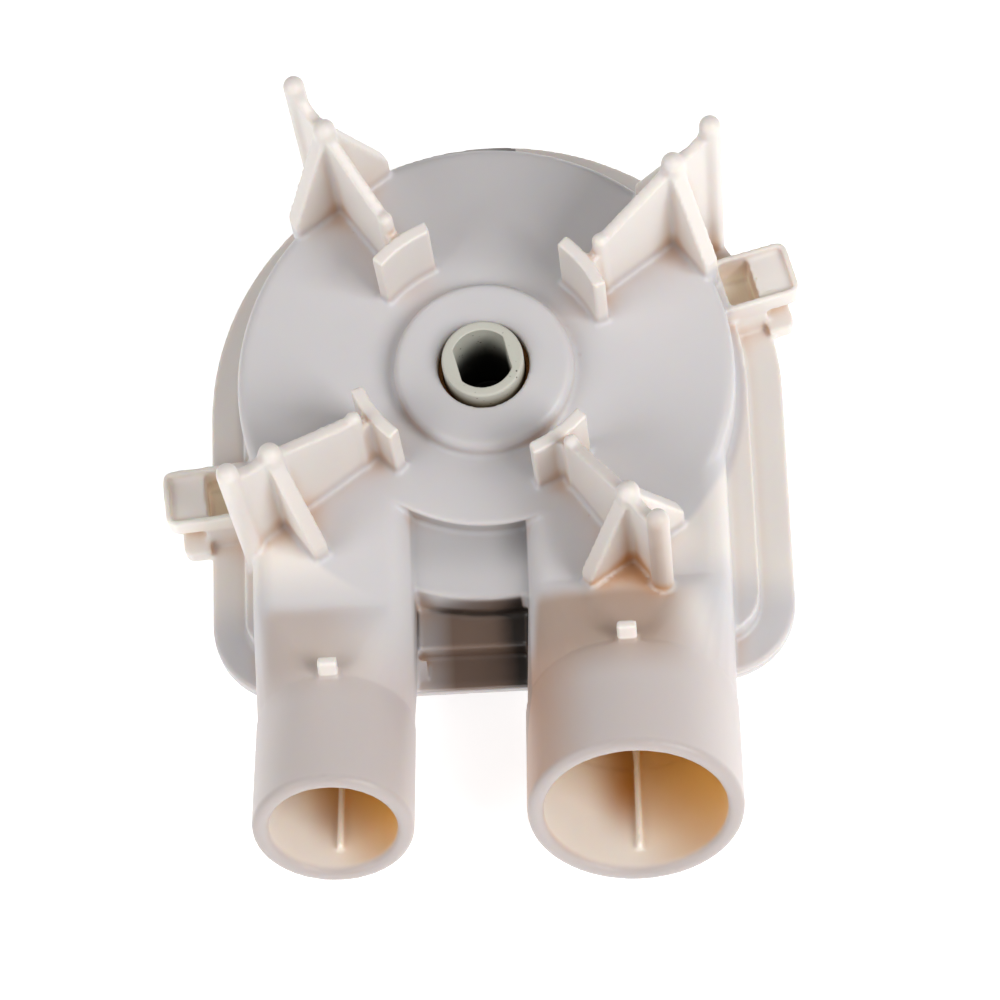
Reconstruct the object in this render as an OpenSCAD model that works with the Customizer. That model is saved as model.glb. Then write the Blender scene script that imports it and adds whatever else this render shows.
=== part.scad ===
// Washer drain pump: a two-shell plastic body with a straight-vaned impeller.
// It lies on its rear cover: +Z is the shaft axis and points at the motor, the hose spigots
// point to -Y and rise towards the motor side, and the origin is where the axis meets the base.

/* [Body] */
// Radius of the round top of the front housing
body_r = 45.6; // [45:0.1:48]
// Wall thickness of the mouldings
wall = 3; // [2.4:0.1:3.2]
// Height of the round top above the base
disc_h = 38; // [37:0.5:42]
// Rounding of the round top's rim
disc_edge = 2; // [1:0.25:2.5]
// Radius of the platform whose edge shows between the spigots
platform_r = 29.6; // [27:0.1:32]
// Drop from the platform to the step between the spigots
step_drop = 4; // [2.5:0.5:5]
// How far the top of the step's wall is set in from the round top's radius
step_inset = 3.3; // [2.5:0.1:4]
// How far the foot of the step's wall stands out past its top
step_draft = 0.9; // [0.3:0.1:1.5]

/* [Skirt and flange] */
// How far the skirt and the flange sit off the axis, towards the large spigot
skirt_shift = 1; // [0.5:0.1:1.5]
// Half width of the D-shaped skirt
skirt_w = 46.8; // [46:0.1:48]
// Distance from the axis to the skirt's straight front
skirt_front = 49; // [48.5:0.1:50]
// Radius of the skirt's two front corners
skirt_corner = 8; // [6:0.5:10]
// Height of the skirt's top face above the base
skirt_h = 27; // [26:0.5:29]
// Half width of the flange
flange_w = 53.3; // [52:0.1:55]
// Distance from the axis to the flange's straight front
flange_front = 54.9; // [54:0.1:56]
// Radius of the flange's two front corners
flange_corner = 14; // [11:0.5:16]
// Thickness of each shell's flange
flange_t = 2; // [1.6:0.1:2.4]
// Height of the seam between the two shells
seam_h = 20; // [19:0.5:21]

/* [Hose spigots] */
// Rise of both spigots above level, in degrees
tilt = 23; // [21:0.5:24]
// Height of the spigots' end centres above the base
port_h = 39; // [38.5:0.25:41]
// Length of the round hose seat
seat_len = 23.5; // [20:0.5:25]
// Rounding of the spigots' rims
rim = 1.2; // [0.8:0.1:1.3]
// Radius of the large spigot's outside
inlet_r = 19.05; // [18.5:0.05:19.5]
// Radius of the large spigot's bore
inlet_bore = 16.1; // [15:0.1:16.4]
// Sideways place of the large spigot
inlet_x = 23.9; // [23:0.1:25]
// Distance from the axis to the large spigot's end centre
inlet_reach = 85.3; // [84:0.1:90]
// Where the flat roof over the large spigot ends
inlet_root = 41; // [39:0.5:42]
// How far the large duct's inner wall is set in from its spigot's side
inlet_inset = 1.4; // [0.4:0.1:2]
// Radius of the small spigot's outside
outlet_r = 14.29; // [13.8:0.01:14.8]
// Radius of the small spigot's bore
outlet_bore = 11.3; // [10.5:0.1:11.6]
// Sideways place of the small spigot
outlet_x = -29.2; // [-30:0.1:-28]
// Distance from the axis to the small spigot's end centre
outlet_reach = 85.9; // [84:0.1:90]
// Where the flat roof over the small spigot ends
outlet_root = 44; // [42:0.5:44.5]
// How far the small duct's inner wall stands out from its spigot's side
outlet_outset = 0.6; // [0.4:0.1:1]
// Rounding of the flat roofs' long edges
roof_edge = 5; // [3:0.5:6]
// Width of a hose stop tab
stop_w = 3.5; // [2.5:0.25:5]
// Height of a hose stop tab
stop_h = 3.5; // [2:0.25:4]
// Thickness of a hose stop tab
stop_t = 2; // [1.5:0.25:3]
// Height of the thin rib along each bore
bore_rib = 1.3; // [0.8:0.1:2]

/* [Hub] */
// Radius of the raised ring round the drive hub
ring_r = 16.4; // [15.6:0.1:18]
// Height of the ring above the round top
ring_h = 4; // [3:0.25:5]
// Radius of the hole in the ring
ring_hole = 8.4; // [8.2:0.1:9]
// Thickness of the lip that keeps the bush in
lip_t = 3; // [2:0.25:3.5]
// Depth of the sleeve that hangs into the chamber
sleeve_d = 12.6; // [12.2:0.1:13.5]

/* [Motor locators] */
// Direction of the first locator, in degrees from +X
locator_turn = 35.3; // [30:0.1:40]
// Radius of the curved pads' inner faces
pad_r = 22.45; // [21:0.05:24]
// Thickness of the curved pads
pad_t = 2.5; // [2:0.1:3]
// Width of the curved pads
pad_w = 10.9; // [8:0.1:13]
// Height of the pads above the round top
pad_h = 16.9; // [12:0.1:20]
// Thickness of the radial webs
web_t = 2.2; // [1.8:0.1:2.8]
// Radius where the inner bead stands
bead_at = 27.5; // [27:0.1:30]
// Radius of the inner bead
bead_r = 1.4; // [1.2:0.1:1.6]
// Height of the inner bead above the round top
bead_h = 21.4; // [19:0.1:24]
// Radius where the cross plate and the peak bead stand
cross_at = 44.4; // [43.8:0.1:45.2]
// Thickness of the cross plates
cross_t = 3; // [2.4:0.1:3.4]
// Width of the cross plates at their feet
cross_w = 21.4; // [16:0.1:24]
// Height of the cross plates' foot corners above the round top
cross_foot = 4.75; // [3:0.25:7]
// Radius of the peak bead
peak_r = 2.1; // [1.9:0.05:2.5]
// Height of the peak bead above the round top
peak_h = 31.8; // [29:0.1:34]
// Height of the web's saddle between the peak bead and the post
saddle_h = 29.8; // [27:0.1:30]
// Radius where the post stands
post_at = 52.9; // [52:0.1:53.5]
// Radius of the post
post_r = 2; // [1.7:0.05:2.4]
// Height of the post above the round top
post_h = 35.8; // [34:0.1:39]

/* [Clip lugs] */
// Direction of the right lug from the axis, in degrees
lug_at_right = 20.5; // [18:0.1:22]
// Direction of the left lug from the axis, in degrees
lug_at_left = 19.2; // [18:0.1:22]
// Distance from the axis to the right lug's middle
lug_dist_right = 54.3; // [53.5:0.1:55.5]
// Distance from the axis to the left lug's middle
lug_dist_left = 56.4; // [55.5:0.1:57]
// Length of a lug, away from the body
lug_len = 13.3; // [12:0.1:14]
// Width of a lug
lug_w = 10.8; // [10:0.1:12.5]
// Height of a lug above the base
lug_h = 32; // [30:0.5:33]
// Wall of a lug
lug_wall = 1.1; // [0.9:0.1:1.4]
// Rounding of a lug's two outer corners
lug_corner = 2; // [1:0.25:2.5]
// Thickness of a lug's shelf, with its rim
shelf_t = 5.2; // [3.5:0.1:6]
// How far the shelf lies below its rim
shelf_drop = 1.4; // [0.8:0.1:2]
// Length of the deep pocket in a lug
pocket_len = 5.7; // [5:0.1:6]
// Turn of the right lug, in degrees
lug_turn_right = 14; // [12:1:22]
// Turn of the left lug, in degrees
lug_turn_left = 5; // [2:1:12]

/* [Drive and rotor] */
// Radius of the drive hub
hub_r = 7.45; // [7.2:0.05:7.6]
// How far the drive hub stands out of the ring
hub_out = 2.6; // [1.5:0.1:4]
// Radius of the drive socket's round
socket_r = 5.65; // [5.3:0.05:5.8]
// Distance between the drive socket's two flats
socket_flats = 9.4; // [8.8:0.05:10]
// Depth of the drive socket
socket_depth = 24; // [18:0.5:26]
// Turn of the socket's flats at rest, in degrees
socket_turn = 13.5; // [0:0.5:90]
// Radial clearance of the hub in its bush
bush_clear = 0.05; // [0.02:0.01:0.1]
// Outer radius of the bush
bush_r = 10.5; // [10.1:0.1:11]
// Length of the bush
bush_len = 7.4; // [6.5:0.1:7.8]
// Outer radius of the impeller
vane_r = 37; // [34:0.5:39]
// Number of impeller vanes
vanes = 6; // [4:1:8]
// Thickness of a vane
vane_t = 2.2; // [1.8:0.1:2.8]
// Height of the vanes' top edge above the base
vane_h = 29.5; // [27:0.25:30]
// Radius of the impeller's cup
cup_r = 14.2; // [14:0.1:15]

/* [Shaft seal] */
// Outer radius of the seal's fixed rubber cup
seat_r = 13.6; // [13.4:0.1:13.8]
// Outer radius of the ceramic ring
ceramic_r = 12; // [11.7:0.1:12.2]
// Thickness of the ceramic ring
ceramic_t = 3.6; // [3:0.1:3.8]
// Outer radius of the carbon ring
carbon_r = 11.2; // [10.9:0.1:11.3]
// Thickness of the carbon ring
carbon_t = 2.8; // [2.4:0.1:3]
// Working gap drawn between the two sealing faces
face_gap = 0.3; // [0.25:0.05:0.4]
// Radius of the spring's wire
wire_r = 0.55; // [0.45:0.05:0.6]
// Number of turns in the seal's spring
spring_turns = 4; // [3:1:4]

/* [Hidden] */
$fn = 64;
eps = 0.01;
press_gap = 0.02;
running_gap = 0.3;
past = 1;
out_of_way = 120;
ring_edge = 1.6;
hull_fn = 32;
plate_t = 0.2;
foot_in_right = 2.2;
foot_in_left = 3.5;
root_draft = 0.25;
shell_color = [0.90, 0.87, 0.83];
hub_color = [0.78, 0.77, 0.70];
steel_color = [0.66, 0.66, 0.67];

roof_h = disc_h - wall;
step_h = disc_h - step_drop;
step_r = body_r - step_inset;
step_roof = step_h - wall;
skirt_roof = skirt_h - wall;
chamber_r = body_r - wall;
ring_top = disc_h + ring_h;
sleeve_end = disc_h - sleeve_d;
inlet_wall_x = inlet_x - inlet_r + inlet_inset;
outlet_wall_x = outlet_x + outlet_r + outlet_outset;
inlet_sides = [inlet_wall_x, inlet_x + inlet_r];
outlet_sides = [outlet_x - outlet_r, outlet_wall_x];
inlet_room = room_in(inlet_sides, inlet_r - inlet_bore);
outlet_room = room_in(outlet_sides, outlet_r - outlet_bore);

// Stack of the bush and the seal, from the ring's lip downwards
bush_top = ring_top - lip_t;
bush_low = bush_top - bush_len;
felt_t = 1.8;
felt_low = bush_low - felt_t - press_gap;
seat_web = 0.65;
seat_top = felt_low - press_gap;
ceramic_top = seat_top - seat_web - press_gap;
seal_face = ceramic_top - ceramic_t;
carbon_top = seal_face - face_gap;
carbon_low = carbon_top - carbon_t;
holder_t = 0.6;
holder_low = carbon_low - holder_t - press_gap;
holder_lip = 1.7;
ring_bore = hub_r + 0.5;
seat_bore = ring_hole + 0.6;
seat_rise = 0.4;
spring_clear = 0.5;

// Stack of the impeller, from the rear cover's floor upwards
boss_up = 2;
button_r = 4;
button_sunk = 3.4;
button_up = 1.2;
button_low = wall + boss_up - button_sunk;
button_top = wall + boss_up + button_up;
impeller_low = button_top + running_gap;
shroud_t = 2;
shroud_lip = 0.6;
vane_tip = vane_r - shroud_lip;
vane_foot = cup_r - 1;
cup_base = 6;
cup_floor = impeller_low + cup_base;
collar_t = 0.6;
collar_top = cup_floor + press_gap + collar_t;
cup_wall = 1.6;
cup_in = cup_r - cup_wall;
cup_top = carbon_low - running_gap;
foot_out = 1.8;
foot_r = hub_r + foot_out;
foot_t = 3;
foot_up = 2.5;
foot_low = impeller_low + foot_up;
hub_edge = 0.5;
hub_top = ring_top + hub_out;
neck_in = hub_r + press_gap;
neck_wall = 1;
band_wall = 0.5;
band_len = 2;
band_up = 0.4;
band_low = collar_top + band_up;
sleeve_gap = 1.5;

// Spring: one tube along a helix between the collar and the carbon holder
spring_r = cup_in - wire_r - spring_clear;
spring_low = collar_top + wire_r + press_gap;
spring_high = holder_low - wire_r - press_gap;
rings_per_turn = 8;
tube_sides = 6;
rings = spring_turns * rings_per_turn;

function coil_point(i) = [
    spring_r * cos(360 * i / rings_per_turn),
    spring_r * sin(360 * i / rings_per_turn),
    spring_low + (spring_high - spring_low) * i / rings
];
function tube_corner(i, j) =
    let (a = 360 * i / rings_per_turn, b = 360 * j / tube_sides, p = coil_point(i))
    [p[0] + wire_r * cos(b) * cos(a), p[1] + wire_r * cos(b) * sin(a), p[2] + wire_r * sin(b)];
turn_gaps = [for (i = [0:rings - rings_per_turn]) norm(coil_point(i + rings_per_turn) - coil_point(i)) - 2 * wire_r];
echo(least_spring_gap = min(turn_gaps));

// D-shaped outline: a round back of half width w and a straight front at distance f
module d_outline(w, f, corner) {
    translate([skirt_shift, 0]) {
        circle(w);
        translate([-w, -(f - corner)]) square([2 * w, f - corner]);
        translate([-(w - corner), -f]) square([2 * (w - corner), f]);
        for (side = [-1, 1]) translate([side * (w - corner), -(f - corner)]) circle(corner);
    }
}

// D-shaped plate from 0 up to h
module d_plate(w, f, corner, h) {
    linear_extrude(h) d_outline(w, f, corner);
}

// Disc from low to high with its upper rim rounded
module round_disc(r, low, high, edge) {
    translate([0, 0, low]) rotate_extrude($fn = 128) {
        square([r, high - low - edge]);
        square([r - edge, high - low]);
        translate([r - edge, high - low - edge]) circle(edge, $fn = 32);
    }
}

// Ring between two radii, from low to high
module ring(inner, outer, low, high) {
    translate([0, 0, low]) rotate_extrude($fn = 96) translate([inner, 0]) square([outer - inner, high - low]);
}

// Frame of a spigot: +Z out of its mouth, +Y at its crown
module at_port(x, reach) {
    translate([x, -reach, port_h]) rotate([90 - tilt, 0, 0]) children();
}

function port_mid_h(reach, y) = port_h - (reach - y) * tan(tilt);

// The corners of a roofed passage's outline between two sides; a hull round them closes it
module roof_corners(sides, low, top, edge) {
    translate([sides[0], low]) square([sides[1] - sides[0], top - edge - low]);
    for (x = [sides[0] + edge, sides[1] - edge]) translate([x, top - edge]) circle(edge, $fn = hull_fn);
}

module spigot(x, reach, r, root, sides) {
    middle = port_mid_h(reach, root);
    stop_sunk = 1;
    at_port(x, reach) {
        rotate_extrude($fn = 96) {
            translate([0, -seat_len]) square([r, seat_len - rim]);
            translate([0, -seat_len]) square([r - rim, seat_len]);
            translate([r - rim, -rim]) circle(rim, $fn = 24);
        }
        translate([0, 0, -(reach - root) / cos(tilt)])
            cylinder(r = r - 2 * root_draft, h = (reach - root) / cos(tilt) - seat_len + past);
        translate([-stop_w / 2, r - stop_sunk, -seat_len - stop_t]) cube([stop_w, stop_sunk + stop_h, stop_t]);
    }
    hull() {
        at_port(x, reach) translate([0, 0, plate_t - seat_len])
            cylinder(r = r - root_draft, h = plate_t, $fn = hull_fn);
        translate([0, -root, 0]) rotate([90, 0, 0]) linear_extrude(plate_t)
            roof_corners(sides, middle, disc_h, roof_edge);
    }
}

// What is cut out of a spigot: a round bore, then a passage that flattens under the roof
module spigot_bore(x, reach, inner, root, room) {
    middle = port_mid_h(reach, root);
    at_port(x, reach) {
        translate([0, 0, -seat_len]) cylinder(r = inner, h = seat_len + past, $fn = 96);
        rotate_extrude($fn = 96) difference() {
            translate([0, -rim]) square([inner + rim, rim + past]);
            translate([inner + rim, -rim]) circle(rim, $fn = 24);
        }
    }
    hull() {
        at_port(x, reach) translate([0, 0, -seat_len]) cylinder(r = inner + root_draft, h = plate_t, $fn = hull_fn);
        translate([0, -root + wall, 0]) rotate([90, 0, 0]) linear_extrude(plate_t) {
            roof_corners(room, middle, roof_h, roof_edge / 2);
            translate([(room[0] + room[1]) / 2, middle]) circle((room[1] - room[0]) / 2, $fn = hull_fn);
        }
    }
}

// What is left inside a pair of sides once the spigot's wall is taken off both
function room_in(sides, t) = [sides[0] + t, sides[1] - t];

module bore_ribs(x, reach, inner) {
    rib_t = 0.9;
    start = 5;
    sunk = 0.4;
    past_seat = 12;
    at_port(x, reach) translate([-rib_t / 2, -inner - sunk, -seat_len - past_seat])
        cube([rib_t, sunk + bore_rib, seat_len + past_seat - start]);
}

// Flat-roofed duct between the round top and a spigot
module duct(sides, root) {
    rotate([90, 0, 0]) linear_extrude(root) {
        roof_corners(sides, seam_h, disc_h, roof_edge);
        translate([sides[0] + roof_edge, seam_h]) square([sides[1] - sides[0] - 2 * roof_edge, disc_h - seam_h]);
    }
}

module duct_room(room, root) {
    translate([room[0], -(root - wall), -eps]) cube([room[1] - room[0], root - wall, roof_h + eps]);
}

// Room outside the step between the two ducts
module step_cut() {
    intersection() {
        translate([outlet_x, -out_of_way, 0]) cube([inlet_x - outlet_x, out_of_way, out_of_way]);
        rotate_extrude($fn = 128)
            polygon([[platform_r, out_of_way], [platform_r, step_h], [step_r, step_h],
                [step_r + step_draft, skirt_h - eps], [out_of_way, skirt_h - eps], [out_of_way, out_of_way]]);
    }
}

// Material that stays under the step, inside the chamber
module step_wall() {
    intersection() {
        translate([outlet_wall_x - wall, -out_of_way, 0])
            cube([inlet_wall_x - outlet_wall_x + 2 * wall, out_of_way, out_of_way]);
        union() {
            ring(platform_r - wall, out_of_way, step_roof, out_of_way);
            ring(step_r - wall, out_of_way, skirt_roof, out_of_way);
        }
    }
}

module chamber() {
    difference() {
        translate([0, 0, -eps]) cylinder(r = chamber_r, h = roof_h + eps, $fn = 128);
        step_wall();
    }
    linear_extrude(skirt_roof) d_outline(skirt_w - wall, skirt_front - wall, skirt_corner - wall);
    duct_room(inlet_room, inlet_root);
    duct_room(outlet_room, outlet_root);
}

// One motor locator along +X, drawn from the top of the round body
module locator() {
    sunk = wall;
    notch_h = pad_h - 1;
    rise = 1.5;
    web_in = 0.4;
    saddle_at = (cross_at + post_at) / 2;
    rotate([0, 0, -asin(pad_w / 2 / pad_r)])
        rotate_extrude(angle = 2 * asin(pad_w / 2 / pad_r)) translate([pad_r, -sunk]) square([pad_t, pad_h + sunk]);
    rotate([90, 0, 0]) translate([0, 0, -web_t / 2]) linear_extrude(web_t) {
        polygon([[pad_r + pad_t / 2, -sunk], [pad_r + pad_t / 2, notch_h], [bead_at - bead_r, notch_h],
            [bead_at, bead_h - bead_r], [cross_at, peak_h - peak_r - web_in], [cross_at, -sunk]]);
        polygon([[cross_at, flange_top_drop], [cross_at, peak_h - peak_r], [cross_at + peak_r, saddle_h],
            [saddle_at, saddle_h], [post_at - post_r, saddle_h + rise], [post_at, saddle_h + 2 * rise],
            [post_at, flange_top_drop]]);
    }
    rounded_post(bead_at, bead_r, -sunk, bead_h);
    rounded_post(cross_at, peak_r, -sunk, peak_h);
    rounded_post(post_at, post_r, flange_top_drop, post_h);
    translate([cross_at - cross_t / 2, 0, 0]) rotate([90, 0, 90]) linear_extrude(cross_t)
        polygon([[-cross_w / 2, skirt_top_drop], [-cross_w / 2, cross_foot], [-peak_r / 2, peak_h - peak_r],
            [peak_r / 2, peak_h - peak_r], [cross_w / 2, cross_foot], [cross_w / 2, skirt_top_drop]]);
}
flange_top_drop = seam_h + flange_t - disc_h - eps;
skirt_top_drop = skirt_h - disc_h - eps;

module rounded_post(at, r, low, high) {
    translate([at, 0, low]) cylinder(r = r, h = high - r - low, $fn = 24);
    translate([at, 0, high - r]) sphere(r = r, $fn = 24);
}

// A clip lug: a deep pocket next to the body, a thin rimmed shelf outside it and an ear on the flange
// below, on the side that faces the spigots (ear_side); its foot runs foot_in into the body
module lug(at, dist, turn, ear_side, foot_in) {
    bridge = 3.5;
    foot_draft = 1.6;
    side_gap = 0.1;
    inner_end = -lug_len / 2;
    pocket_end = inner_end + pocket_len;
    rotate([0, 0, at]) translate([dist, 0, 0]) rotate([0, 0, turn - at]) difference() {
        union() {
            translate([0, 0, lug_h - shelf_t]) linear_extrude(shelf_t) {
                translate([inner_end - bridge, -lug_w / 2]) square([lug_len + bridge - lug_corner, lug_w]);
                translate([inner_end, lug_corner - lug_w / 2]) square([lug_len, lug_w - 2 * lug_corner]);
                for (side = [-1, 1]) translate([lug_len / 2 - lug_corner, side * (lug_w / 2 - lug_corner)])
                    circle(lug_corner, $fn = 32);
            }
            translate([inner_end - foot_in, 0, 0]) rotate([90, 0, 90])
                linear_extrude(foot_in + pocket_len + lug_wall) lug_foot(lug_w / 2 - side_gap, foot_draft);
            ear(ear_side, pocket_end + lug_wall / 2);
        }
        translate([0, lug_w / 2 - lug_wall, 0]) rotate([90, 0, 0]) linear_extrude(lug_w - 2 * lug_wall)
            polygon([[inner_end, seam_h + flange_t], [pocket_end, seam_h + flange_t],
                [pocket_end, lug_h - shelf_drop], [lug_len / 2 - lug_wall, lug_h - shelf_drop],
                [lug_len / 2 - lug_wall, lug_h + past], [inner_end, lug_h + past]]);
    }
}

// Cross-section of the pocket's walls, which stand wider at the flange
module lug_foot(half, draft) {
    knee = lug_h - shelf_t;
    polygon([[-half - draft, seam_h], [-half, knee], [-half, lug_h - eps],
        [half, lug_h - eps], [half, knee], [half + draft, seam_h]]);
}

module ear(side, near) {
    ear_len = 3.1;
    ear_in = 2;
    ear_h = 2;
    corner = 1.5;
    far = lug_w / 2 + ear_len;
    ear_end = lug_len / 2 - ear_in;
    translate([0, 0, seam_h]) linear_extrude(flange_t + ear_h) scale([1, side]) {
        translate([near, 0]) square([ear_end - near, far - corner]);
        translate([near, 0]) square([ear_end - near - corner, far]);
        translate([ear_end - corner, far - corner]) circle(corner, $fn = 24);
    }
}

module housing_outside() {
    difference() {
        round_disc(body_r, seam_h, disc_h, disc_edge);
        step_cut();
    }
    translate([0, 0, seam_h]) {
        d_plate(skirt_w, skirt_front, skirt_corner, skirt_h - seam_h);
        d_plate(flange_w, flange_front, flange_corner, flange_t);
    }
    duct(inlet_sides, inlet_root);
    duct(outlet_sides, outlet_root);
    spigot(inlet_x, inlet_reach, inlet_r, inlet_root, inlet_sides);
    spigot(outlet_x, outlet_reach, outlet_r, outlet_root, outlet_sides);
    for (k = [0:3]) rotate([0, 0, locator_turn + 90 * k]) translate([0, 0, disc_h]) locator();
    lug(lug_at_right, lug_dist_right, lug_turn_right, -1, foot_in_right);
    rotate([0, 0, 180]) lug(lug_at_left, lug_dist_left, lug_turn_left, 1, foot_in_left);
    gusset();
}

// Small gusset that stands on the flange beside the small spigot
module gusset() {
    gusset_t = 1.8;
    size = 3;
    from_edge = 1.6;
    sunk = 0.5;
    translate([outlet_wall_x - sunk, -flange_front + from_edge, seam_h + flange_t - eps]) rotate([90, 0, 90])
        linear_extrude(gusset_t) polygon([[0, 0], [size, 0], [size, size]]);
}

module front_housing() {
    color(shell_color) difference() {
        union() {
            difference() {
                housing_outside();
                chamber();
                spigot_bore(inlet_x, inlet_reach, inlet_bore, inlet_root, inlet_room);
                spigot_bore(outlet_x, outlet_reach, outlet_bore, outlet_root, outlet_room);
            }
            round_disc(ring_r, roof_h - eps, ring_top, ring_edge);
            translate([0, 0, sleeve_end]) cylinder(r = ring_r, h = disc_h - sleeve_end - past, $fn = 96);
            bore_ribs(inlet_x, inlet_reach, inlet_bore);
            bore_ribs(outlet_x, outlet_reach, outlet_bore);
        }
        translate([0, 0, sleeve_end - past]) cylinder(r = ring_hole, h = ring_top, $fn = 96);
        translate([0, 0, sleeve_end - past]) cylinder(r = bush_r + press_gap, h = bush_top - sleeve_end + past, $fn = 96);
        translate([0, 0, sleeve_end - past]) cylinder(r = seat_r + press_gap, h = seat_top - sleeve_end + past, $fn = 96);
    }
}

module rear_cover() {
    boss_r = 8;
    rib_t = 1.6;
    rib_h = 1.4;
    color(shell_color) difference() {
        union() {
            difference() {
                union() {
                    d_plate(skirt_w, skirt_front, skirt_corner, seam_h - press_gap);
                    translate([0, 0, seam_h - flange_t])
                        d_plate(flange_w, flange_front, flange_corner, flange_t - press_gap);
                }
                translate([0, 0, wall]) linear_extrude(seam_h)
                    d_outline(skirt_w - wall, skirt_front - wall, skirt_corner - wall);
            }
            cylinder(r = boss_r, h = wall + boss_up);
            for (a = [0:60:300]) rotate([0, 0, a]) translate([0, -rib_t / 2, wall - eps])
                cube([skirt_w - 2 * wall, rib_t, rib_h]);
        }
        translate([0, 0, button_low]) cylinder(r = button_r + press_gap, h = seam_h);
        intersection() {
            front_wall_room();
            union() {
                saddle(inlet_x, inlet_reach, inlet_r);
                saddle(outlet_x, outlet_reach, outlet_r);
            }
        }
    }
}

// Where the spigots' roots pass the rear cover: its front wall, and its inner corners above the floor
module front_wall_room() {
    inner_w = skirt_w - wall + running_gap;
    translate([-out_of_way / 2, -out_of_way / 2, -eps])
        cube([out_of_way, out_of_way / 2 - skirt_front + wall, out_of_way]);
    translate([skirt_shift - inner_w, -skirt_front + wall - past, wall])
        cube([2 * inner_w, skirt_corner - wall + past + running_gap, seam_h]);
}

// Room for a spigot's root
module saddle(x, reach, r) {
    saddle_gap = 0.15;
    at_port(x, reach) translate([0, 0, -flange_front - skirt_front]) cylinder(r = r + saddle_gap, h = 2 * skirt_front);
}

module thrust_button() {
    dome = 0.8;
    color([0.93, 0.93, 0.90]) {
        translate([0, 0, button_low + press_gap]) cylinder(r = button_r, h = button_top - button_low - dome);
        translate([0, 0, button_top - dome]) cylinder(r = button_r - dome, h = dome);
    }
}

module shaft_bush() {
    color([0.62, 0.45, 0.28]) ring(hub_r + bush_clear, bush_r, bush_low, bush_top - press_gap);
}

module oil_felt() {
    color([0.74, 0.70, 0.60]) ring(hub_r + running_gap, bush_r, felt_low, felt_low + felt_t);
}

module seat_cup() {
    color([0.13, 0.13, 0.13]) {
        ring(seat_bore, seat_r, seat_top - press_gap - seat_web, seat_top - press_gap);
        ring(ceramic_r + press_gap, seat_r, seal_face + seat_rise, seat_top - press_gap);
    }
}

module ceramic_ring() {
    color([0.93, 0.92, 0.88]) ring(ring_hole, ceramic_r, seal_face, ceramic_top - press_gap);
}

module carbon_ring() {
    color([0.16, 0.16, 0.17]) ring(ring_bore, carbon_r, carbon_low, carbon_top);
}

module carbon_holder() {
    color([0.72, 0.60, 0.32]) {
        ring(ring_bore, cup_in - spring_clear, holder_low, holder_low + holder_t);
        ring(carbon_r + press_gap, carbon_r + press_gap + holder_t, holder_low, carbon_low + holder_lip);
    }
}

module seal_bellows() {
    low = collar_top + press_gap;
    high = holder_low - press_gap;
    fold_pitch = 2.1;
    fold_gap = 0.15;
    fold_low = band_low + band_len;
    folds = max(1, round((high - fold_low) / fold_pitch) - 1);
    pitch = (high - fold_low) / (folds + 1);
    fold_r = pitch / 2 - fold_gap;
    color([0.10, 0.10, 0.11]) rotate_extrude($fn = 96) {
        translate([neck_in, low]) square([neck_wall, high - low]);
        for (k = [1:folds]) translate([neck_in + neck_wall, fold_low + k * pitch]) circle(fold_r, $fn = 24);
        translate([neck_in, high - neck_wall]) square([neck_wall + fold_r, neck_wall]);
    }
}

module bellows_band() {
    color([0.72, 0.60, 0.32]) ring(neck_in + neck_wall + press_gap, neck_in + neck_wall + press_gap + band_wall,
        band_low, band_low + band_len);
}

module seal_spring() {
    sides = [for (i = [0:rings - 1], j = [0:tube_sides - 1])
        let (a = i * tube_sides + j, b = i * tube_sides + (j + 1) % tube_sides)
        [[a, b, b + tube_sides], [a, b + tube_sides, a + tube_sides]]];
    first = [for (j = [1:tube_sides - 2]) [0, j + 1, j]];
    last = [for (j = [1:tube_sides - 2]) [rings * tube_sides, rings * tube_sides + j, rings * tube_sides + j + 1]];
    color(steel_color) polyhedron(
        points = [for (i = [0:rings], j = [0:tube_sides - 1]) tube_corner(i, j)],
        faces = concat([for (pair = sides) pair[0]], [for (pair = sides) pair[1]], first, last));
}

module spring_collar() {
    color(steel_color) ring(neck_in + 0.1, cup_in - press_gap, cup_floor + press_gap, collar_top);
}

// Round with two flats
module double_d(r, flats, h) {
    intersection() {
        cylinder(r = r, h = h);
        translate([-flats / 2, -r, 0]) cube([flats, 2 * r, h]);
    }
}

module drive_hub() {
    color(hub_color) difference() {
        union() {
            round_disc(hub_r, foot_low, hub_top, hub_edge);
            double_d_foot(0);
        }
        rotate([0, 0, socket_turn]) translate([0, 0, hub_top - socket_depth])
            double_d(socket_r, socket_flats, socket_depth + past);
    }
}

module double_d_foot(gap) {
    translate([0, 0, foot_low - gap]) double_d(foot_r + gap, 2 * hub_r + 2 * gap, foot_t + 2 * gap);
}

module impeller() {
    color(shell_color) difference() {
        union() {
            translate([0, 0, impeller_low]) cylinder(r = vane_r, h = shroud_t, $fn = 96);
            translate([0, 0, impeller_low]) cylinder(r = cup_r, h = cup_top - impeller_low);
            difference() {
                for (k = [0:vanes - 1]) rotate([0, 0, 360 * k / vanes]) {
                    translate([vane_foot, -vane_t / 2, impeller_low])
                        cube([vane_tip - vane_t / 2 - vane_foot, vane_t, vane_h - impeller_low]);
                    translate([vane_tip - vane_t / 2, 0, impeller_low])
                        cylinder(r = vane_t / 2, h = vane_h - impeller_low, $fn = 24);
                }
                translate([0, 0, sleeve_end - sleeve_gap]) cylinder(r = ring_r + sleeve_gap, h = vane_h);
            }
        }
        translate([0, 0, cup_floor]) cylinder(r = cup_in, h = vane_h);
        translate([0, 0, foot_low - press_gap]) cylinder(r = hub_r + press_gap, h = vane_h);
        double_d_foot(press_gap);
    }
}

front_housing();
rear_cover();
thrust_button();
shaft_bush();
oil_felt();
seat_cup();
ceramic_ring();
carbon_ring();
carbon_holder();
seal_bellows();
bellows_band();
seal_spring();
spring_collar();
drive_hub();
impeller();
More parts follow.
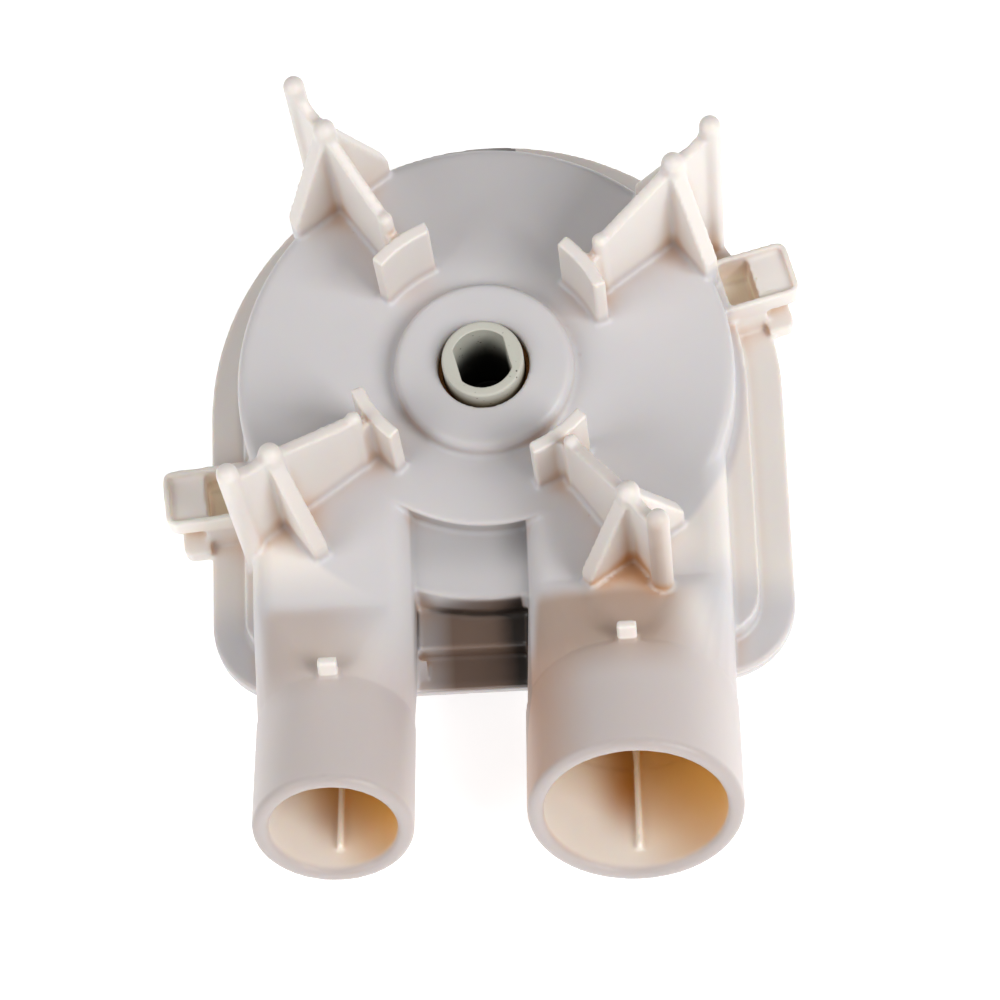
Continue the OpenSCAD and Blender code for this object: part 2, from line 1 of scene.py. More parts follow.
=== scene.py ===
import math

import bpy
from bpy.props import FloatProperty, FloatVectorProperty, IntProperty, PointerProperty
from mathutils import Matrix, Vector


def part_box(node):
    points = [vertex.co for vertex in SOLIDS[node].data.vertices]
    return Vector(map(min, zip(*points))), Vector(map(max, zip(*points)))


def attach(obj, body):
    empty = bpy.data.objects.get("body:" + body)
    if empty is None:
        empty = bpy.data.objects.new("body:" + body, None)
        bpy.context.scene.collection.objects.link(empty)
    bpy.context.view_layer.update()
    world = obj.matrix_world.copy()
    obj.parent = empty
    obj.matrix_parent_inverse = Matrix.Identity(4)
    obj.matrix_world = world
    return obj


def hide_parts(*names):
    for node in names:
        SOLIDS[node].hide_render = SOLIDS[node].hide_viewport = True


bl_info = {
    "name": "Washer Drain Pump",
    "version": (1, 0, 0),
    "blender": (4, 5, 0),
    "location": "View3D > Sidebar > Drain Pump",
    "description": "Dresses the drain pump's solids as moulded plastic, bronze, rubber and steel",
    "category": "Object",
}

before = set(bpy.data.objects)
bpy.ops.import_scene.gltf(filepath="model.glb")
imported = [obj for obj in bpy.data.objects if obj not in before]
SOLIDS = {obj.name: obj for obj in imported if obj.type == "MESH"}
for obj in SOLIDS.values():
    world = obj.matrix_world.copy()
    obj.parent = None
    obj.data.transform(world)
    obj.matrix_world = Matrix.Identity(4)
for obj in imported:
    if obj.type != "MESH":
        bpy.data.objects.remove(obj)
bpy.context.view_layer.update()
MM = 0.001

# Heights over the back of the pump
BUSH_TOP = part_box("shaft_bush")[1].z
HUB_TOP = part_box("drive_hub")[1].z
DISC_TOP = 38 * MM
MOUTH_HEIGHT = 39 * MM

# The two hose spigots rise by the same angle. Each has its sideways place, the distance of its mouth from
# the shaft, its bore's radius and how dark the bore is beside its rib.
RISE = math.radians(23)
# The last number sets how dark the painted shadow beside each bore's rib is
SPIGOTS = (
    (23.9 * MM, 85.3 * MM, 16.1 * MM, 1.0),
    (-29.2 * MM, 85.9 * MM, 11.3 * MM, 0.5))

# The pockets of the two clip lugs, each given as its middle seen from above
POCKETS = ((47.3 * MM, 18.1 * MM), (-49.5 * MM, -18.2 * MM))
POCKET_RADIUS = (6.8 * MM, 5.3 * MM)
POCKET_HEIGHT = (33.5 * MM, 30.5 * MM)

# Most zones mark where light or shade is painted into the front housing's colour
# Zones of the front housing. Each is where one or more spans meet, and a span says what it is measured along
# (the axes x, y and z, or r, the distance from the shaft), where its mask is 0 and where it is 1.
ZONES = {
    "locators": (("z", BUSH_TOP - 0.5 * MM, BUSH_TOP + 3 * MM), ("r", 19 * MM, 22 * MM)),
    "lugs": (("r", 46.5 * MM, 48 * MM), ("y", -44 * MM, -34 * MM)),
    "lit_left_lug": (("x", -46.5 * MM, -48 * MM), ("z", 26 * MM, 28 * MM)),
    "spigots": (("y", -46 * MM, -62 * MM),),
    "large_side": (("x", -2 * MM, 2 * MM),),
    "slopes": (("y", -42 * MM, -46 * MM), ("y", -64 * MM, -54 * MM), ("z", 36 * MM, 38.5 * MM)),
    "large_slope": (("x", 38 * MM, 28 * MM),),
    "small_slope": (("x", -18 * MM, -32 * MM),),
    "shaded_flank": (("y", -50 * MM, -60 * MM), ("x", 19 * MM, 6.5 * MM)),
    "step": (("x", -15 * MM, -14.4 * MM), ("x", 6.6 * MM, 6.2 * MM), ("r", 29.1 * MM, 29.5 * MM),
             ("z", DISC_TOP - 0.4 * MM, DISC_TOP - 1.2 * MM)),
    "far": (("y", -39 * MM, -31 * MM),),
    "right": (("x", -1 * MM, 7 * MM),),
    "well": (("x", -14.9 * MM, -14.1 * MM), ("y", -41 * MM, -42.5 * MM), ("z", 34.5 * MM, 32 * MM)),
    "well_high": (("x", 5.2 * MM, 4.6 * MM),),
    "well_low": (("x", 8.5 * MM, 7.5 * MM), ("z", 30 * MM, 28 * MM)),
    "well_wall": (("z", 26.8 * MM, 27.6 * MM),),
    "well_shade": (("x", -18 * MM, 2 * MM),),
}

# How much of a tint shows where its mask is 1: on the front housing, then on the two plain cream mouldings.
# All but the spigots' blush are painted light and shade
SPIGOT_BLUSH = 0.9
SMALL_SLOPE_SHADE = 0.55
WIDE_CORNER_GLOW = 0.45
NEAR_CORNER_GLOW = 0.45
LOCATOR_CORNER_GLOW = 0.45
LEFT_LUG_LIGHT = 0.8
STEP_SHADE = 0.22
STEP_SHADE_FAR = 0.2
STEP_SHADE_RIGHT = 0.2
STEP_SHADE_FAR_RIGHT = 0.3
WELL_WALL_SHADE = 0.45
WELL_RIGHT_SHADE = 0.8
PLAIN_CORNER_GLOW = 0.4

# How light a tint is against the colour that it is made from. All but the clouds are painted light and shade
CLOUD_TINT = 0.97
END_SHADE_TINT = 0.78
LIT_TINT = 1.1
STEP_SHADE_TINT = 0.3
WELL_SHADE_TINT = 0.12
BORE_TINT = 0.08

# Most triangles of each kind of moulding, and how often the skins of the small ones are smoothed
SHELL_FACES = 190000
COVER_FACES = 120000
IMPELLER_FACES = 90000
HUB_FACES = 60000
SMALL_FACES = 40000
IMPELLER_PASSES = 3
SMALL_PASSES = 2

# The seal's spring
WIRE_RADIUS = 0.55 * MM
SPRING_TURNS = 4
STEPS_PER_TURN = 48

# The studio: the camera as the photograph's perspective puts it, and each lamp's name, place, size and power
CAMERA_PLACE = (37.79 * MM, -283.65 * MM, 711.23 * MM)
CAMERA_TURN = (math.radians(20.874), math.radians(3.756), math.radians(-1.862))
CAMERA_NEAR = 0.05
LAMPS_AIM = Vector((0, -20 * MM, 30 * MM))
LAMPS = (
    ("key", (0.72, -0.44, 0.88), 0.6, 10.3),
    ("fill", (-0.75, -0.44, 0.83), 0.7, 5.7))
SKY_LIGHT = 0.26
FLOOR_LIGHT = 0.56
FLOOR_SIZE = 6


def linear(red, green, blue):
    """A colour given in display values from 0 to 255, as the light values that Blender keeps."""
    def one(value):
        share = value / 255
        return share / 12.92 if share <= 0.04045 else ((share + 0.055) / 1.055) ** 2.4
    return one(red), one(green), one(blue)


def scaled(colour, factor):
    """A colour with each of its light values times a factor."""
    return [factor * value for value in colour]


# Selecting, copying and finishing meshes


def pick(piece):
    """Selects one object alone and makes it active."""
    bpy.ops.object.select_all(action="DESELECT")
    piece.select_set(True)
    bpy.context.view_layer.objects.active = piece


def apply_all(piece):
    """Applies every modifier of a piece, from the top down."""
    pick(piece)
    for modifier in list(piece.modifiers):
        bpy.ops.object.modifier_apply(modifier=modifier.name)


def merged_copy(node, name):
    """A copy of a solid's mesh under its own name, with its loose triangles joined."""
    piece = bpy.data.objects.new(name, SOLIDS[node].data.copy())
    bpy.context.scene.collection.objects.link(piece)
    piece.data.materials.clear()
    pick(piece)
    bpy.ops.mesh.customdata_custom_splitnormals_clear()
    bpy.ops.object.mode_set(mode="EDIT")
    bpy.ops.mesh.select_all(action="SELECT")
    bpy.ops.mesh.remove_doubles(threshold=0.001 * MM)
    bpy.ops.object.mode_set(mode="OBJECT")
    return piece


def mould(piece, grain, passes, most_faces):
    """Recasts a sharp solid as one skin whose edges and corners are rounded as on a moulding."""
    skin = piece.modifiers.new("Skin", "REMESH")
    skin.mode = "VOXEL"
    skin.voxel_size = grain
    soften = piece.modifiers.new("Soften", "SMOOTH")
    soften.factor = 0.5
    soften.iterations = passes
    apply_all(piece)
    triangles = 2 * len(piece.data.polygons)
    if triangles > most_faces:
        lean = piece.modifiers.new("Lean", "DECIMATE")
        lean.ratio = most_faces / triangles
        apply_all(piece)
    piece.data.shade_smooth()


def finish(piece, material, body, node):
    """Gives a piece its material and hangs it on its body in the place of its solid."""
    piece.data.materials.clear()
    piece.data.materials.append(material)
    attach(piece, body)
    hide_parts(node)


def moulded_piece(node, name, grain, passes, most_faces, material, body):
    """A solid recast as a moulding, finished and hung on its body."""
    piece = merged_copy(node, name)
    mould(piece, grain, passes, most_faces)
    finish(piece, material, body, node)


# Writing materials


class Term:
    """A shader socket that can stand in a sum, a difference, a product or a power."""

    def __init__(self, paint, socket):
        self.paint = paint
        self.socket = socket

    def _math(self, operation, first, second):
        return self.paint.node("ShaderNodeMath", {"operation": operation}, {0: first, 1: second})

    def __add__(self, other):
        return self._math("ADD", self, other)

    __radd__ = __add__

    def __sub__(self, other):
        return self._math("SUBTRACT", self, other)

    def __rsub__(self, other):
        return self._math("SUBTRACT", other, self)

    def __mul__(self, other):
        return self._math("MULTIPLY", self, other)

    __rmul__ = __mul__

    def __pow__(self, other):
        return self._math("POWER", self, other)

    def larger(self, other):
        """The larger of two values."""
        return self._math("MAXIMUM", self, other)


class Paint:
    """A material that is being mixed round one Principled shader."""

    def __init__(self, name, **constants):
        self.material = bpy.data.materials.new(name)
        self.material.use_nodes = True
        self.tree = self.material.node_tree
        self.shader = next(node for node in self.tree.nodes if node.type == "BSDF_PRINCIPLED")
        for socket, value in constants.items():
            title = socket.replace("_", " ").title().replace("Ior", "IOR")
            self.shader.inputs[title].default_value = value
        self.spot = self.node("ShaderNodeTexCoord", out="Object")

    def node(self, kind, settings=None, sockets=None, out=0):
        """Adds a node, sets it, fills its sockets with values or links, and gives one of its outputs."""
        node = self.tree.nodes.new(kind)
        for name, value in (settings or {}).items():
            setattr(node, name, value)
        for name, value in (sockets or {}).items():
            self._fill(node.inputs[name], value)
        return Term(self, node.outputs[out])

    def _fill(self, socket, value):
        if isinstance(value, Term):
            self.tree.links.new(value.socket, socket)
        elif socket.type == "RGBA" and len(value) == 3:
            socket.default_value = (*value, 1)
        else:
            socket.default_value = value

    def feed(self, socket, value):
        """Links what changes over the surface into the shader."""
        self._fill(self.shader.inputs[socket], value)

    def axes(self):
        """The three coordinates of a point on the surface, in metres."""
        split = self.tree.nodes.new("ShaderNodeSeparateXYZ")
        self.tree.links.new(self.spot.socket, split.inputs[0])
        return [Term(self, output) for output in split.outputs]

    def noise(self, scale, detail=2.0, rough=0.5):
        """Cloudy noise from 0 to 1, with this many clouds to a metre."""
        return self.node("ShaderNodeTexNoise", None,
                         {"Vector": self.spot, "Scale": scale, "Detail": detail, "Roughness": rough})

    def between(self, value, nought, one):
        """A mask that goes softly from 0 at one value to 1 at another, which may be the lower one."""
        return self.node("ShaderNodeMapRange", {"interpolation_type": "SMOOTHSTEP"},
                         {"Value": value, "From Min": nought, "From Max": one})

    def zone(self, measures, name):
        """The mask of one of the housing's zones, from the measures of a point."""
        masks = [self.between(measures[along], nought, one) for along, nought, one in ZONES[name]]
        return math.prod(masks[1:], start=masks[0])

    def corner(self, reach):
        """A mask of hollows: 0 in the open, towards 1 deep in a corner of this reach."""
        open_share = self.node("ShaderNodeAmbientOcclusion", {"samples": 8, "only_local": True},
                               {"Distance": reach}, out="AO")
        return 1 - open_share

    def mix(self, mask, first, second):
        """The first colour where the mask is 0 and the second where it is 1."""
        return self.node("ShaderNodeMix", {"data_type": "RGBA", "clamp_factor": True},
                         {0: mask, 6: first, 7: second}, out=2)

    def bump(self, height, depth, strength=1.0):
        """Raises the surface by up to this depth, in metres, where the height is 1."""
        self.feed("Normal", self.node(
            "ShaderNodeBump", None, {"Height": height, "Distance": depth, "Strength": strength}))


# The sizes and colours that a user would change


class PumpShape(bpy.types.PropertyGroup):
    """Sizes of the moulded finish."""

    shell_grain: FloatProperty(
        name="Shell grain", description="Spacing of the shells' skin, which sets how round their edges are",
        default=0.45 * MM, min=0.35 * MM, max=0.8 * MM, unit="LENGTH", precision=5)
    shell_passes: IntProperty(
        name="Shell softening", description="How often the shells' skin is smoothed",
        default=4, min=1, max=10)
    impeller_grain: FloatProperty(
        name="Impeller grain", description="Spacing of the impeller's skin",
        default=0.4 * MM, min=0.3 * MM, max=0.8 * MM, unit="LENGTH", precision=5)
    hub_grain: FloatProperty(
        name="Hub grain", description="Spacing of the drive hub's skin",
        default=0.17 * MM, min=0.12 * MM, max=0.4 * MM, unit="LENGTH", precision=5)
    small_grain: FloatProperty(
        name="Small grain", description="Spacing of the skin of the small seal pieces",
        default=0.13 * MM, min=0.1 * MM, max=0.25 * MM, unit="LENGTH", precision=5)


def colour_property(name, description, *display):
    """A colour property, with its standard value given in display values from 0 to 255."""
    return FloatVectorProperty(
        name=name, description=description, subtype="COLOR", default=linear(*display), min=0, max=1)


class PumpColours(bpy.types.PropertyGroup):
    """Colours of the finishes, with the light and shade that is painted on the plastic."""

    top: colour_property("Body", "Plastic of the round top and the flanges", 209, 206, 207)
    # Painted light: the thin locators and lugs are painted paler than the body
    pale: colour_property("Locators", "Plastic of the thin locators and lugs", 228, 222, 217)
    blush: colour_property("Spigots", "Plastic of the two hose spigots", 206, 196, 193)
    # Painted light: the amber glow painted into the plastic's inner corners
    amber: colour_property("Corners", "Glow of the plastic in its inner corners", 196, 136, 66)
    # Painted light on the lit walls just inside the spigots' mouths, also used in the clip lugs' pockets
    bore: colour_property("Bores", "Plastic just inside the spigots' mouths", 228, 222, 214)
    # Painted shade and glow: the amber of the walls far down the bores
    deep: colour_property("Deep bores", "Glow of the plastic far down the spigots' bores", 222, 166, 86)
    # Painted shadow: the amber shadow that a hose bore's rib casts beside it
    rib_shadow: colour_property("Rib's shade", "Glow of the plastic beside the rib of a hose bore", 160, 92, 16)
    # Painted shade on the slopes that rise from the body to the spigots
    root: colour_property("Roots", "Plastic of the slopes where the spigots leave the body", 182, 161, 147)
    shaded_flank: colour_property("Flank", "Plastic of the large spigot's shaded side", 198, 168, 150)
    shine: colour_property(
        "Shine through", "Light that comes through the walls of the clip lugs' pockets", 104, 96, 80)
    # Painted shade deep between the two spigots
    shade: colour_property("Well", "Plastic deep between the two spigots", 118, 97, 84)
    hub: colour_property("Hub", "Filled plastic of the drive hub", 206, 205, 196)
    bronze: colour_property("Bronze", "Sintered bronze of the bush", 170, 120, 72)


class PumpStudio(bpy.types.PropertyGroup):
    """Camera and light."""

    lens: FloatProperty(
        name="Lens", description="Focal length on a 36 mm sensor, in millimetres",
        default=144.27, min=50, max=300)
    light: FloatProperty(
        name="Light", description="Strength of all the lamps together", default=1.0, min=0.1, max=4)


# The finishes


def along_spigot(place):
    """A point's height over a spigot's axis, its depth from the mouth and its distance from the axis."""
    side, out, up = place
    crown = out * math.sin(RISE) + up * math.cos(RISE)
    depth = out * math.cos(RISE) - up * math.sin(RISE)
    return crown, depth, (side * side + crown * crown) ** 0.5


def within_bore(paint, off, radius):
    """A mask of what lies inside a bore's wall."""
    return paint.between(off, radius + 0.7 * MM, radius + 0.1 * MM)


def within_pocket(paint, point, middle_x, middle_y):
    """A mask of one clip lug's pocket."""
    x, y, z = point
    off = ((x - middle_x) * (x - middle_x) + (y - middle_y) * (y - middle_y)) ** 0.5
    return paint.between(off, *POCKET_RADIUS) * paint.between(z, *POCKET_HEIGHT)


def spigot_painted_light(paint, colours, colour, place, radius, dark):
    """Painted light and shade on a spigot: a darker end face, a pale lit stop tab, a painted shadow beside
    the rib and a painted highlight on it, and a bore that is painted peach where lit at its mouth and amber
    in shade far down.
    """
    side = place[0]
    crown, depth, off = along_spigot(place)
    # Painted shade on the end face
    end = paint.between(depth, 1.8 * MM, 0.3 * MM) * paint.between(off, radius + 5 * MM, radius + 4 * MM)
    colour = paint.mix(end, colour, scaled(colours.blush, END_SHADE_TINT))
    # Painted light on the stop tab
    tab = paint.between(crown, radius + 3.3 * MM, radius + 3.8 * MM) \
        * paint.between(depth, 26.4 * MM, 26 * MM) \
        * paint.between(side * side, 6.3 * MM * MM, 5.3 * MM * MM)
    colour = paint.mix(tab, colour, scaled(colours.pale, LIT_TINT))
    # Painted light and shade in the bore: peach where lit, amber where shaded further in and to the right
    shaded = paint.between(side * 0.8 + depth * 0.5, -0.1 * radius, 1.2 * radius)
    glow = paint.mix(shaded, colours.bore, colours.deep)
    # Painted shadow that the rib casts on its left
    beside = paint.between(side, -0.6 * radius, -0.05 * radius) * paint.between(side, 0, -0.4 * MM) \
        * paint.between(depth, 0.3 * radius, 1.3 * radius)
    glow = paint.mix(beside * dark, glow, colours.rib_shadow)
    # Painted highlight on the rib
    rib = paint.between(side * side, 0.8 * MM * MM, 0.3 * MM * MM) \
        * paint.between(crown, 0.3 * MM - radius, 0.8 * MM - radius) * paint.between(crown, 0, -2 * MM)
    glow = paint.mix(rib, glow, scaled(colours.bore, LIT_TINT))
    inside = within_bore(paint, off, radius) * paint.between(depth, 0.5 * MM, 2 * MM)
    return paint.mix(inside, colour, glow)


def housing_zones(paint, colours, colour, near, wide):
    """The places of the front housing that are thinner, or that the light reaches less or shines through."""
    x, y, z = paint.axes()
    measures = {"x": x, "y": y, "z": z, "r": (x * x + y * y) ** 0.5}

    def zone(name):
        return paint.zone(measures, name)

    # Painted light makes the thin webs pale, the spigots are warmer than the body, and painted shade makes
    # the slopes behind them warmer and darker
    locators = zone("locators")
    colour = paint.mix(locators.larger(zone("lugs")), colour, colours.pale)
    colour = paint.mix(zone("spigots") * SPIGOT_BLUSH, colour, colours.blush)
    # Painted shade on the slopes behind the spigots, full behind the large one and weaker behind the small
    # one
    large_side = zone("large_side")
    slopes = large_side * zone("large_slope") + (1 - large_side) * zone("small_slope") * SMALL_SLOPE_SHADE
    colour = paint.mix(zone("slopes") * slopes, colour, colours.root)
    # Painted shade on the large spigot's flank
    colour = paint.mix(large_side * zone("shaded_flank"), colour, colours.shaded_flank)

    # Painted amber glow of the light caught in the hollows, most of all at the locators
    colour = paint.mix(wide * WIDE_CORNER_GLOW, colour, colours.amber)
    colour = paint.mix(near * (NEAR_CORNER_GLOW + locators * LOCATOR_CORNER_GLOW), colour, colours.amber)

    # Painted shade: the step between the spigots darkens to the back and the right, and the well in front of
    # it to the right
    far = zone("far")
    right = zone("right")
    shade = STEP_SHADE + STEP_SHADE_FAR * far + STEP_SHADE_RIGHT * right + STEP_SHADE_FAR_RIGHT * far * right
    colour = paint.mix(zone("step") * shade, colour, scaled(colours.top, STEP_SHADE_TINT))
    # Painted shade in the well, darkest at its wall and to the right
    well = zone("well") * (zone("well_high") + zone("well_low"))
    colour = paint.mix(well * zone("well_shade"), colour, colours.shade)
    darkest_shade = well * zone("well_wall") * WELL_WALL_SHADE + well * right * WELL_RIGHT_SHADE
    colour = paint.mix(darkest_shade, colour, scaled(colours.shade, WELL_SHADE_TINT))

    # Painted light: the left clip lug stands in the light, and light comes through the pockets' walls and
    # into the bores
    colour = paint.mix(zone("lit_left_lug") * LEFT_LUG_LIGHT, colour, linear(250, 243, 236))
    # Painted light in the hollows of the clip lugs' pockets
    for middle_x, middle_y in POCKETS:
        colour = paint.mix(within_pocket(paint, (x, y, z), middle_x, middle_y) * near, colour, colours.bore)
    for place, reach, bore, dark in SPIGOTS:
        colour = spigot_painted_light(paint, colours, colour, (x - place, y + reach, z - MOUTH_HEIGHT), bore, dark)
    return colour


def shine_through(paint, colours, near):
    """Light that comes through the thin walls of the clip lugs' pockets and of the hose bores."""
    x, y, z = paint.axes()
    glow = (0, 0, 0)
    for middle_x, middle_y in POCKETS:
        glow = paint.mix(within_pocket(paint, (x, y, z), middle_x, middle_y) * near, glow, colours.shine)
    for place, reach, radius, _ in SPIGOTS:
        _, depth, off = along_spigot((x - place, y + reach, z - MOUTH_HEIGHT))
        far_down = within_bore(paint, off, radius) * paint.between(depth, 8 * MM, 20 * MM)
        glow = paint.mix(far_down, glow, scaled(colours.deep, BORE_TINT))
    paint.shader.inputs["Emission Strength"].default_value = 1.0
    paint.feed("Emission Color", glow)


def cream_plastic(name, colours, zoned):
    """Milky polypropylene: cool on flat tops, with painted light that makes thin webs paler and a painted
    amber glow where light is caught in corners.
    """
    paint = Paint(name, subsurface_weight=0.5, subsurface_scale=1.5 * MM, subsurface_radius=(1.0, 0.6, 0.3),
                  ior=1.49, specular_ior_level=0.5)
    clouds = paint.noise(22, detail=1.5)
    patches = paint.noise(85, detail=2)
    pores = paint.noise(1400, detail=2)
    colour = paint.mix(clouds, colours.top, scaled(colours.top, CLOUD_TINT))
    near = paint.between(paint.corner(6 * MM), 0.24, 0.72)
    wide = paint.between(paint.corner(22 * MM), 0.45, 1.0)
    if zoned:
        colour = housing_zones(paint, colours, colour, near, wide)
        shine_through(paint, colours, near)
    else:
        # Painted amber glow in the hollows
        colour = paint.mix(wide * PLAIN_CORNER_GLOW, colour, colours.amber)
        colour = paint.mix(near * PLAIN_CORNER_GLOW, colour, colours.amber)
    paint.feed("Base Color", colour)
    paint.feed("Roughness", 0.34 + patches * 0.16)
    paint.bump(pores * 0.6 + patches * 0.4, 0.03 * MM, 0.5)
    return paint.material


def hub_plastic(colours):
    """Greenish filled plastic with fine dark specks, and painted shade down its sides and in its socket."""
    paint = Paint("HubPlastic", ior=1.5, subsurface_weight=0.08, subsurface_scale=1 * MM)
    cells = paint.node("ShaderNodeTexVoronoi", None, {"Vector": paint.spot, "Scale": 900}, out="Distance")
    specks = 1 - paint.between(cells, 0.10, 0.22)
    rare = paint.between(paint.noise(420), 0.52, 0.62)
    colour = paint.mix(paint.noise(60), colours.hub, linear(182, 180, 166))
    colour = paint.mix(specks * rare, colour, linear(58, 50, 40))
    x, y, z = paint.axes()
    radius = (x * x + y * y) ** 0.5
    # Painted shade down the hub's sides
    sides = paint.between(radius, 6.6 * MM, 7.2 * MM) * paint.between(z, HUB_TOP - 1 * MM, HUB_TOP - 5 * MM)
    colour = paint.mix(sides * 0.8, colour, linear(126, 108, 78))
    # Painted shade in the socket
    socket = paint.between(radius, 5.9 * MM, 5.6 * MM) * paint.between(z, HUB_TOP - 1 * MM, HUB_TOP - 13 * MM)
    colour = paint.mix(socket, colour, linear(16, 13, 9))
    paint.feed("Base Color", colour)
    paint.feed("Roughness", 0.42 + paint.noise(300) * 0.15)
    paint.bump(paint.noise(1600), 0.02 * MM, 0.5)
    return paint.material


def sintered_bronze(colours):
    """Porous bronze with a film of dark oil."""
    paint = Paint("SinteredBronze", metallic=1.0)
    cells = paint.node("ShaderNodeTexVoronoi", None, {"Vector": paint.spot, "Scale": 2600}, out="Distance")
    pores = 1 - paint.between(cells, 0.1, 0.35)
    oil = paint.noise(140, detail=3)
    colour = paint.mix(oil, colours.bronze, linear(120, 78, 40))
    paint.feed("Base Color", paint.mix(pores * 0.8, colour, linear(38, 26, 18)))
    paint.feed("Roughness", 0.3 + oil * 0.25)
    paint.bump(1 - pores, 0.03 * MM, 0.6)
    return paint.material


def oiled_felt():
    """Pressed wool felt, darkened by oil."""
    paint = Paint("OiledFelt", sheen_weight=0.3)
    fibres = paint.noise(2200, detail=4, rough=0.7)
    oil = paint.noise(160)
    colour = paint.mix(fibres, linear(196, 182, 150), linear(134, 116, 84))
    paint.feed("Base Color", paint.mix(oil * 0.6, colour, linear(110, 90, 56)))
    paint.feed("Roughness", 0.8 + fibres * 0.15)
    paint.bump(fibres, 0.12 * MM)
    return paint.material


def black_rubber():
    """Moulded black rubber with a faint bloom."""
    paint = Paint("BlackRubber", ior=1.5)
    bloom = paint.noise(120, detail=3)
    paint.feed("Base Color", paint.mix(bloom, linear(30, 30, 31), linear(56, 55, 54)))
    paint.feed("Roughness", 0.5 + bloom * 0.25)
    paint.bump(paint.noise(1800), 0.02 * MM, 0.6)
    return paint.material


def white_ceramic():
    """Fired ceramic, lapped to a shine."""
    paint = Paint("WhiteCeramic", ior=1.7, subsurface_weight=0.1, subsurface_scale=1 * MM)
    grain = paint.noise(1500, detail=3)
    paint.feed("Base Color", paint.mix(grain, linear(240, 237, 228), linear(228, 224, 212)))
    paint.feed("Roughness", 0.16 + grain * 0.1)
    paint.bump(grain, 0.004 * MM, 0.4)
    return paint.material


def grey_carbon():
    """Lapped carbon with a graphite glint."""
    paint = Paint("GreyCarbon", ior=1.9)
    grain = paint.noise(2400, detail=4)
    paint.feed("Base Color", paint.mix(grain, linear(34, 35, 38), linear(66, 67, 70)))
    paint.feed("Roughness", 0.28 + grain * 0.2)
    paint.bump(grain, 0.008 * MM, 0.5)
    return paint.material


def worn_metal(name, bright, dull, scratches):
    """Stamped or drawn metal with fine scratches and dull patches."""
    paint = Paint(name, metallic=1.0)
    stretched = paint.node("ShaderNodeMapping", None, {"Vector": paint.spot, "Scale": (1, 1, 14)})
    lines = paint.node("ShaderNodeTexNoise", None, {"Vector": stretched, "Scale": scratches, "Detail": 3.0})
    stain = paint.noise(130, detail=3)
    paint.feed("Base Color", paint.mix(stain, bright, dull))
    paint.feed("Roughness", 0.2 + lines * 0.2 + stain * 0.12)
    paint.bump(lines, 0.01 * MM, 0.4)
    return paint.material


def white_plastic():
    """Slippery white plastic of the thrust button."""
    paint = Paint("WhitePlastic", ior=1.46, subsurface_weight=0.2, subsurface_scale=1.5 * MM,
                  subsurface_radius=(1.0, 0.9, 0.8))
    wear = paint.noise(240, detail=3)
    paint.feed("Base Color", paint.mix(wear, linear(238, 237, 231), linear(224, 222, 212)))
    paint.feed("Roughness", 0.3 + wear * 0.2)
    paint.bump(paint.noise(1500), 0.01 * MM, 0.5)
    return paint.material


def studio_floor():
    """Matt white card that is lit from within, to be as white as the photograph's ground."""
    paint = Paint("StudioCard", roughness=0.9, specular_ior_level=0.2,
                  emission_color=(1, 1, 1, 1), emission_strength=FLOOR_LIGHT)
    paint.feed("Base Color", paint.mix(paint.noise(3), linear(250, 250, 250), linear(248, 248, 248)))
    return paint.material


# One operator for each piece or group of like pieces


class PUMP_OT_stage(bpy.types.Operator):
    """Lays the floor and sets the light and the camera"""

    bl_idname = "pump.stage"
    bl_label = "Stage"

    def execute(self, context):
        studio = context.scene.pump_studio
        bpy.ops.object.select_all(action="DESELECT")
        bpy.ops.mesh.primitive_plane_add(size=FLOOR_SIZE)
        floor = context.object
        floor.name = "floor"
        floor.data.materials.append(studio_floor())
        bpy.ops.object.camera_add(location=CAMERA_PLACE, rotation=CAMERA_TURN)
        camera = context.object
        camera.data.lens = studio.lens
        camera.data.clip_start = CAMERA_NEAR
        context.scene.camera = camera
        for name, place, size, power in LAMPS:
            bpy.ops.object.light_add(type="AREA", location=place)
            lamp = context.object
            lamp.name = name
            lamp.rotation_euler = (LAMPS_AIM - Vector(place)).to_track_quat("-Z", "Y").to_euler()
            lamp.data.size = size
            lamp.data.energy = power * studio.light
        world = bpy.data.worlds.new("Studio")
        world.use_nodes = True
        sky = world.node_tree.nodes["Background"].inputs
        sky["Color"].default_value = (1, 1, 1, 1)
        sky["Strength"].default_value = SKY_LIGHT * studio.light
        context.scene.world = world
        context.scene.view_settings.view_transform = "Standard"
        return {"FINISHED"}


class PUMP_OT_front_housing(bpy.types.Operator):
    """Moulds the front housing with its spigots, locators and lugs"""

    bl_idname = "pump.front_housing"
    bl_label = "Front housing"

    def execute(self, context):
        shape = context.scene.pump_shape
        material = cream_plastic("CreamPlastic", context.scene.pump_colours, True)
        moulded_piece("front_housing", "moulded_front_housing", shape.shell_grain, shape.shell_passes,
                      SHELL_FACES, material, "housing")
        return {"FINISHED"}


class PUMP_OT_rear_cover(bpy.types.Operator):
    """Moulds the rear cover"""

    bl_idname = "pump.rear_cover"
    bl_label = "Rear cover"

    def execute(self, context):
        shape = context.scene.pump_shape
        material = cream_plastic("CreamPlasticRear", context.scene.pump_colours, False)
        moulded_piece("rear_cover", "moulded_rear_cover", shape.shell_grain, shape.shell_passes,
                      COVER_FACES, material, "housing")
        return {"FINISHED"}


class PUMP_OT_impeller(bpy.types.Operator):
    """Moulds the impeller"""

    bl_idname = "pump.impeller"
    bl_label = "Impeller"

    def execute(self, context):
        shape = context.scene.pump_shape
        material = cream_plastic("CreamPlasticImpeller", context.scene.pump_colours, False)
        moulded_piece("impeller", "moulded_impeller", shape.impeller_grain, IMPELLER_PASSES,
                      IMPELLER_FACES, material, "rotor")
        return {"FINISHED"}


